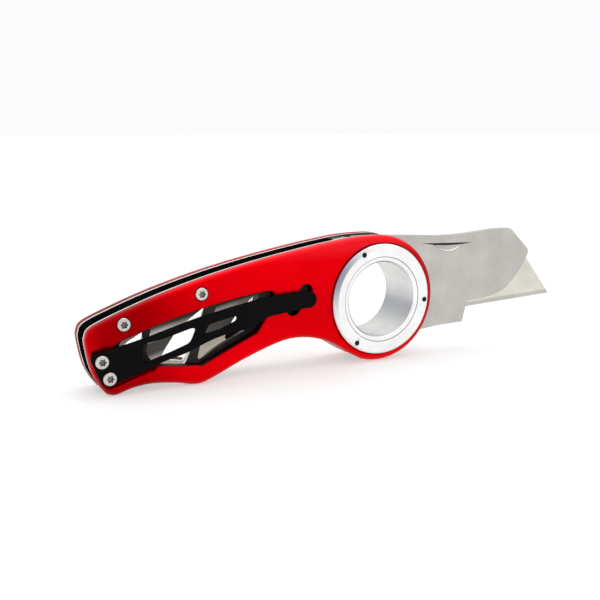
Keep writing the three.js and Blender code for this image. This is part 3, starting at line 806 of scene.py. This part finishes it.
def add_dark_reflection(material, colour, angle, spread, inner, outer):
    """Paints a dark reflection on a turned material at an angle round the axis, and from inner to
    outer millimetres.
    """
    tree = material.node_tree
    bsdf = tree.nodes["Principled BSDF"]
    bright = bsdf.inputs["Base Color"].links[0].from_socket
    patch = placed(tree, dark_reflection_patch, Angle=angle, Spread=spread, Inner_mm=inner, Outer_mm=outer)
    tree.links.new(blended(tree, "MIX", patch.outputs["Rub"], bright, (*colour, 1)),
                   bsdf.inputs["Base Color"])


# Painted dark reflections: a grey-blue patch on the outer edge of the ring at the upper left, and a
# grey patch on one side of the bore.
add_dark_reflection(ring_aluminium, (0.28, 0.30, 0.36), 152.0, 58.0, 15.1, 15.7)
add_dark_reflection(sleeve_aluminium, (0.40, 0.41, 0.43), -22.0, 46.0, 1.0, 2.0)

FINGER_BORE, SLEEVE_OUT, RING_OUT, BORE_CHAMFER = 11.5, 13.0, 17.0, 0.5
sleeve_end = span("finger_sleeve")[1]
sleeve_profile = softened([
    (FINGER_BORE + BORE_CHAMFER, -sleeve_end), (SLEEVE_OUT, -sleeve_end),
    (SLEEVE_OUT, sleeve_end), (FINGER_BORE + BORE_CHAMFER, sleeve_end),
    (FINGER_BORE, sleeve_end - BORE_CHAMFER), (FINGER_BORE, BORE_CHAMFER - sleeve_end)], 0.12)
sleeve = spun("finger_sleeve_tube", sleeve_profile)
fit(sleeve, "handle", sleeve_aluminium, "turned_aluminium", "finger_sleeve")
# Painted highlight: the chamfered ends of the sleeve take the rings' brighter aluminium, for a
# bright band round the bore.
sleeve.data.materials.append(ring_aluminium)
for face in sleeve.data.polygons:
    at_end = abs(face.center.y - ring_axis.y) / MM > sleeve_end - BORE_CHAMFER
    face.material_index = 1 if at_end else 0


# Painted shade for hollows: the spanner holes in the rings and the slit of the nail nick.
hollow_painted_shade, tree, bsdf = new_material("hollow_painted_shade")
texture = placed(tree, surface_grain, Grain_mm=0.1, Cloud_mm=1.0)
tree.links.new(shaded(tree, texture.outputs["Cloud"], (0.010, 0.010, 0.011), (0.03, 0.03, 0.032)),
               bsdf.inputs["Base Color"])
tree.links.new(between(tree, texture.outputs["Grain"], 0.5, 0.8), bsdf.inputs["Roughness"])
bumped(tree, bsdf, texture.outputs["Grain"], 0.01)

# The rear ring is the front one turned over, so its spanner holes run the other way round.
SPANNER_CIRCLE_R, SPANNER_HOLE_R, SPANNER_DEEP, SPANNER_TURN = 15.5, 0.8, 1.2, 4.8
THREAD_GAP, FACE_CHAMFER, BROKEN_EDGE = 0.12, 0.5, 0.12
for side, node in ((-1, "front_retaining_ring"), (1, "rear_retaining_ring")):
    inner, outer = sorted(map(abs, span(node)))
    corners = [(SLEEVE_OUT + THREAD_GAP, inner), (RING_OUT, inner),
               (RING_OUT, outer - FACE_CHAMFER), (RING_OUT - FACE_CHAMFER, outer),
               (SLEEVE_OUT + THREAD_GAP, outer)]
    ring = spun(node + "_turned", softened([(r, side * y) for r, y in corners], BROKEN_EDGE))
    holes = []
    for third in range(3):
        turn = math.radians(120 * third - SPANNER_TURN) * -side
        holes.append(drilling(SPANNER_CIRCLE_R * math.cos(turn), SPANNER_CIRCLE_R * math.sin(turn),
                              SPANNER_HOLE_R, 24))
    spanner_cuts = cutter("spanner_cuts", holes,
                          *sorted((side * (outer - SPANNER_DEEP), side * CUT_OUT)))
    fit(less(ring, spanner_cuts), "handle", ring_aluminium, "turned_aluminium", node)
    # Painted shade inside the spanner holes.
    ring.data.materials.append(hollow_painted_shade)
    for face in ring.data.polygons:
        spot = (face.center - ring_axis) / MM
        from_hole = min((Vector((spot.x, spot.z)) - sum(hole, Vector((0, 0))) / len(hole)).length
                        for hole in holes)
        inside = from_hole < SPANNER_HOLE_R + GAP and abs(spot.y) < outer - 0.05
        face.material_index = 1 if inside else 0

washer_bronze = turned_metal("washer_bronze", (0.55, 0.40, 0.20), (0.66, 0.50, 0.28), 0.3, 0.45)
for node in ("front_thrust_washer", "rear_thrust_washer"):
    low, high = span(node)
    disc = sheet(node + "_disc", outlines(node, (low + high) / 2), low, high, SHEET_EDGE)
    fit(disc, "handle", washer_bronze, "bronze", node)


# ------------------------------------------------------------ blade carrier
# One stainless sheet folded over the back of the blade, with both cheeks drilled for the
# sleeve. Its faces are brushed up and down, and a nail nick is pressed into the front cheek.
upright_lines = line_group("upright_lines", "Z")
carrier_steel = lined_steel("carrier_steel", (0.455, 0.44, 0.415), (0.565, 0.55, 0.515),
                            0.3, 0.42, length=16.0, width=0.5, group=upright_lines)
cheek_out = span("blade_carrier")[1]
cheek_in = span("tang_core")[1]
cheek_loops = outlines("blade_carrier", -0.5 * (cheek_out + cheek_in) + 0.1)
# The fold starts and ends along the back of the blade, and lies above a height over the axis.
FOLD_START, FOLD_RUN_IN, FOLD_END, FOLD_RUN_OUT, FOLD_OVER = 17.0, 6.0, 56.0, 4.0, 16.8
FOLD_R, CHEEK_EDGE, CHEEK_INSIDE = 0.62, 0.1, 0.02


def folded(spot, end, hole):
    """The sheet is bent round along the back of the blade, and cut square everywhere else."""
    along = min(1.0, max(0.0, (spot.x - FOLD_START) / FOLD_RUN_IN),
                max(0.0, (FOLD_END - spot.x) / FOLD_RUN_OUT))
    return CHEEK_EDGE + (FOLD_R * along if spot.y > FOLD_OVER and not hole else 0.0)


form = bmesh.new()
for side in (-1, 1):
    low, high = sorted((side * cheek_out, side * cheek_in))

    def cheek_edge(spot, end, hole, side=side):
        return folded(spot, end, hole) if end == side else CHEEK_INSIDE

    plate(form, cheek_loops, low, high, cheek_edge)
plate(form, outlines("blade_carrier", 0), -cheek_in, cheek_in, even(0.0), steps=0)

# The nick is slit along its straight top edge, and the sheet under the slit is pressed in. The
# slit carries painted shade, and the lower lip of the nick a painted highlight in bright metal.
NICK_LEFT, NICK_RIGHT, NICK_DEEP, SLIT_DEEP, SLIT_TALL, NICK_STEPS = 19.4, 38.8, 0.4, 0.66, 0.8, 24
NICK_HIGH, NICK_FALL, PRESS_START, PRESS_RUN, PRESS_TALL, CLEAR = 15.2, 0.75, 0.2, 0.62, 2.0, 0.4
LIP_LEFT, LIP_RIGHT, LIP_BELOW = 26, 35, 1.2


def nick_share(x):
    return min(1.0, max(0.0, (x - NICK_LEFT) / (NICK_RIGHT - NICK_LEFT)))


def nick_top(x):
    return NICK_HIGH - NICK_FALL * nick_share(x)


nick = bmesh.new()
rows = []
for step in range(NICK_STEPS + 1):
    t = step / NICK_STEPS
    swell = math.sin(math.pi * t)
    x = NICK_LEFT + (NICK_RIGHT - NICK_LEFT) * t
    top = nick_top(x)
    lip = top - 0.02 - SLIT_TALL * swell
    pressed = math.sin(math.pi * min(1.0, max(0.0, (t - PRESS_START) / PRESS_RUN)))
    under = lip - 0.05 - PRESS_TALL * pressed
    depth = NICK_DEEP * pressed ** 0.6 + 0.01
    face = -cheek_out
    slit = face + SLIT_DEEP * swell ** 0.4 + 0.02
    rows.append([nick.verts.new(ring_axis + Vector((x, y, z)) * MM) for y, z in (
        (face - CLEAR, top), (slit, top), (slit, lip), (face + depth, lip - 0.01),
        (face + 0.8 * depth, lip * 0.24 + under * 0.76), (face + 0.005, under),
        (face - CLEAR, under))])
bridged(nick, rows, lids=True)
carrier_piece = less(shaped("carrier_sheet", form), shaped("nick_cut", nick))
fit(carrier_piece, "carrier", carrier_steel, "carrier_steel", "blade_carrier")
# Painted shade in the slit of the nick, and a painted highlight on its lower lip.
carrier_piece.data.materials.append(hollow_painted_shade)
carrier_piece.data.materials.append(ring_aluminium)
for face in carrier_piece.data.polygons:
    spot = (face.center - ring_axis) / MM
    swell = math.sin(math.pi * nick_share(spot.x))
    below = nick_top(spot.x) - spot.z
    in_slit = (NICK_LEFT < spot.x < NICK_RIGHT and cheek_in + GAP < -spot.y < cheek_out - GAP
               and -GAP < below < SLIT_TALL * swell + 2 * GAP)
    on_lip = (LIP_LEFT < spot.x < LIP_RIGHT and 0.005 < spot.y + cheek_out < 0.3
              and 0.2 < -face.normal.y < 0.97 and below > LIP_BELOW)
    face.material_index = 1 if in_slit else 2 if on_lip else 0
for node, material, slot in (("tang_core", carrier_steel, "carrier_steel"),
                             ("blade_spring", plated_steel, "screw_steel")):
    fit(sheet(node + "_plate", outlines(node, 0), *span(node), SHEET_EDGE / 2), "carrier",
        material, slot, node)


# ------------------------------------------------------------ utility blade
# A standard two-notch trapezoid blade of hardened carbon steel, ground on both sides of its
# long edge. It slides out of the front of the carrier when that is unlatched.
blade_steel = lined_steel("blade_steel", (0.60, 0.58, 0.51), (0.74, 0.72, 0.65), 0.16, 0.26,
                          length=5.0, width=0.1, depth=0.003)
ground_steel = lined_steel("ground_steel", (0.46, 0.45, 0.40), (0.54, 0.53, 0.48), 0.22, 0.34,
                           length=0.3, width=1.5, depth=0.003)
# The ground band's height, and how far the ends of the blade lean for each unit of height.
GROUND, END_RAKE, HALF_EDGE = 1.5, 14.0 / 19.0, 0.01
blade_loop = cornered(outlines("utility_blade", 0)[0], 0.02, 1)
if signed_area(blade_loop) < 0:
    blade_loop = blade_loop[::-1]
blade_half = span("utility_blade")[1]
tip = max(blade_loop, key=lambda spot: spot.x)
heel = min(blade_loop, key=lambda spot: spot.x)
edge_line = (tip - heel).normalized()
up_line = Vector((-edge_line.y, edge_line.x))


def over_edge(spot):
    return (spot - heel).dot(up_line)


flat_loop = []
for spot in blade_loop:
    if over_edge(spot) < 0.1:
        inward = 1 if (spot - heel).dot(edge_line) < (tip - heel).length / 2 else -1
        spot = spot + up_line * GROUND + edge_line * inward * GROUND * END_RAKE
    flat_loop.append(spot)
form = bmesh.new()
rows = []
for row, y in ((flat_loop, -blade_half), (blade_loop, -HALF_EDGE), (blade_loop, HALF_EDGE),
               (flat_loop, blade_half)):
    rows.append([form.verts.new(ring_axis + Vector((spot.x, y, spot.y)) * MM) for spot in row])
bridged(form, rows, lids=True)
blade = stood("trapezoid_blade", meshed("trapezoid_blade", form, smooth=False))
fit(blade, "carrier", blade_steel, "blade_steel", "utility_blade")
blade.data.materials.append(ground_steel)
for face in blade.data.polygons:
    spot = (face.center - ring_axis) / MM
    low_down = over_edge(Vector((spot.x, spot.z))) < GROUND
    face.material_index = 1 if low_down and abs(face.normal.y) > 0.5 else 0


# ------------------------------------------------------------ pocket clip
# Spring steel strip, cut out, bent to stand off the scale, blackened and lacquered. Two screws
# hold its pad at the butt, and the arm beyond them bends as it slides over a pocket's edge.
def smooth_line(points, steps):
    """A Catmull-Rom line through the points, as their positions in order."""
    ends = [points[0], *points, points[-1]]
    out = []
    for p0, p1, p2, p3 in zip(ends, ends[1:], ends[2:], ends[3:]):
        for step in range(steps):
            t = step / steps
            out.append(Vector([0.5 * (2 * b + (c - a) * t + (2 * a - 5 * b + 4 * c - d) * t * t
                                      + (3 * b - a - 3 * c + d) * t ** 3)
                               for a, b, c, d in zip(p0, p1, p2, p3)]))
    return out + [Vector(points[-1])]


clip_outline = [
    *round_bend(-85.0, -14.1, 2.5, 270, 205, 6),
    *round_bend(-88.2, -8.6, 1.6, 195, 115, 6),
    *smooth_line([(-79.5, -5.3), (-77.0, -4.7), (-73.1, -3.6), (-68.2, -2.1), (-60.0, 0.2),
                  (-50.0, 2.3), (-40.0, 4.0), (-32.4, 4.6), (-26.5, 4.8)], 3),
    *round_bend(-25.6, 2.25, 2.55, 85, -85, 14),
    *smooth_line([(-26.5, -0.3), (-33.0, -1.0), (-39.3, -1.8), (-44.0, -4.2), (-51.5, -5.2),
                  (-57.6, -6.9), (-63.2, -9.2), (-69.6, -11.0), (-77.0, -13.6)], 3),
]
clip_holes = [
    softened([(-75.4, -5.6), (-70.6, -4.9), (-61.6, -2.4), (-60.6, -3.0), (-62.2, -6.6),
              (-67.4, -8.5), (-75.9, -11.2)], 1.2, 4),
    softened([(-58.3, -4.6), (-56.9, -1.9), (-48.6, -0.2), (-48.4, -1.6), (-53.2, -3.6)], 1.0, 4),
]
CLIP_THICK, CLIP_EDGE, BEND_CUTS = 1.0, 0.18, 52
ARM_START, ARM_LONG, ARM_BOW, ARM_RISE, LIP_RISE = -77.0, 54.0, 1.3, 0.62, 0.7
pad_front = span("clip_pad")[0]
form = bmesh.new()
plate(form, [clip_outline] + [[Vector(spot) for spot in hole] for hole in clip_holes],
      pad_front, pad_front + CLIP_THICK, even(CLIP_EDGE), corner=0.3, steps=3)
for cut in range(BEND_CUTS):
    plane = ring_axis + Vector((ARM_START - 1 + cut, 0, 0)) * MM
    bmesh.ops.bisect_plane(form, geom=form.verts[:] + form.edges[:] + form.faces[:],
                           plane_co=plane, plane_no=(1, 0, 0))


def ease(value, low, high):
    t = min(1.0, max(0.0, (value - low) / (high - low)))
    return t * t * (3 - 2 * t)


def clip_drop(x):
    """How far out from its pad the clip's arm stands at x, in millimetres."""
    along = min(1.0, max(0.0, (x - ARM_START) / ARM_LONG))
    bow = ARM_BOW * math.sin(math.pi * min(1.0, along / 0.92) ** 0.8)
    return bow + ARM_RISE * ease(along, 0.2, 0.92) + LIP_RISE * ease(along, 0.9, 1.0)


lean = form.verts.layers.float_vector["lean"]
for vert in form.verts:
    x = (vert.co.x - ring_axis.x) / MM
    slope = (clip_drop(x + 0.1) - clip_drop(x - 0.1)) / 0.2
    vert.co.y -= clip_drop(x) * MM
    tilt = Vector(vert[lean])
    vert[lean] = (tilt + Vector((slope * tilt.y, 0, 0))).normalized()

black_lacquer, tree, bsdf = new_material("black_lacquer")
texture = placed(tree, surface_grain, Grain_mm=0.16, Cloud_mm=10.0)
colour = shaded(tree, texture.outputs["Cloud"], (0.0015, 0.0012, 0.0015), (0.003, 0.0025, 0.003))
tree.links.new(colour, bsdf.inputs["Base Color"])
tree.links.new(between(tree, texture.outputs["Cloud"], 0.3, 0.42), bsdf.inputs["Roughness"])
bumped(tree, bsdf, texture.outputs["Grain"], 0.008)
bsdf.inputs["Specular IOR Level"].default_value = 0.05

clip_piece = made("pocket_clip_strip", form)
clip_piece.data.materials.append(black_lacquer)
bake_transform(clip_piece)
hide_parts("clip_pad", "clip_arm")


# ------------------------------------------------------------ screws
# Low button-headed steel screws with six-lobed sockets. Two hold the clip at the butt, two
# hold the front scale, and four more close the rear side.
HEAD_R, HEAD_HIGH, SOCKET_DEEP, SHANK_R, SCREW_STEPS = 1.87, 1.05, 0.62, 1.0, 72


def lobe(turn):
    return 0.88 + 0.14 * math.cos(6 * turn)


def lobed_screw(name, place, side, shank):
    """A screw whose head faces -y or +y; the place is the middle of the seat under the head."""
    # From the middle of the socket outwards, over the head and down to the end of the shank.
    rings = [(lambda a: 0.3, HEAD_HIGH - SOCKET_DEEP),
             (lambda a: lobe(a) * 0.92, HEAD_HIGH - SOCKET_DEEP),
             (lobe, HEAD_HIGH - 0.5), (lobe, HEAD_HIGH - 0.05),
             (lambda a: lobe(a) + 0.06, HEAD_HIGH)]
    rings += [(lambda a, radius=radius: radius, height) for radius, height in (
        (HEAD_R * 0.72, HEAD_HIGH - 0.02), (HEAD_R * 0.86, HEAD_HIGH - 0.1),
        (HEAD_R * 0.96, HEAD_HIGH - 0.26), (HEAD_R, HEAD_HIGH - 0.45), (HEAD_R, 0.06),
        (HEAD_R - 0.06, 0.0), (SHANK_R, 0.0), (SHANK_R, 0.2 - shank), (0.8, -shank))]
    turns = [math.tau * step / SCREW_STEPS for step in range(SCREW_STEPS)]
    form = bmesh.new()
    rows = [[form.verts.new(place + Vector(
        (radius(a) * math.cos(a), side * height, radius(a) * math.sin(a))) * MM) for a in turns]
        for radius, height in rings]
    bridged(form, rows, lids=True)
    mesh = meshed(name, form)
    mesh.set_sharp_from_angle(angle=math.radians(50))
    return stood(name, mesh)


# Painted shade: the inside of each screw's socket is given a dark steel.
socket_painted_shade = lined_steel("socket_painted_shade", (0.06, 0.06, 0.055), (0.22, 0.215, 0.2), 0.3, 0.5,
                           length=0.5, width=0.5, depth=0.01)
for name in SCREW_NAMES:
    for side, end in ((-1, "front"), (1, "rear")):
        node = f"{name}_{end}_screw"
        low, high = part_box(node)
        middle = (low + high) / 2
        top = low.y if side < 0 else high.y
        seat = Vector((middle.x, top - side * HEAD_HIGH * MM, middle.z))
        shank = (high.y - low.y) / MM - HEAD_HIGH
        screw = lobed_screw(node + "_lobed", seat, side, shank)
        fit(screw, "handle", plated_steel, "screw_steel", node)
        screw.data.materials.append(socket_painted_shade)
        for face in screw.data.polygons:
            across = face.center - seat
            sunk = HEAD_HIGH - side * across.y / MM
            across.y = 0
            in_socket = across.length / MM < SHANK_R + 0.03 and 0.04 < sunk < SOCKET_DEEP + 0.05
            face.material_index = 1 if in_socket else 0
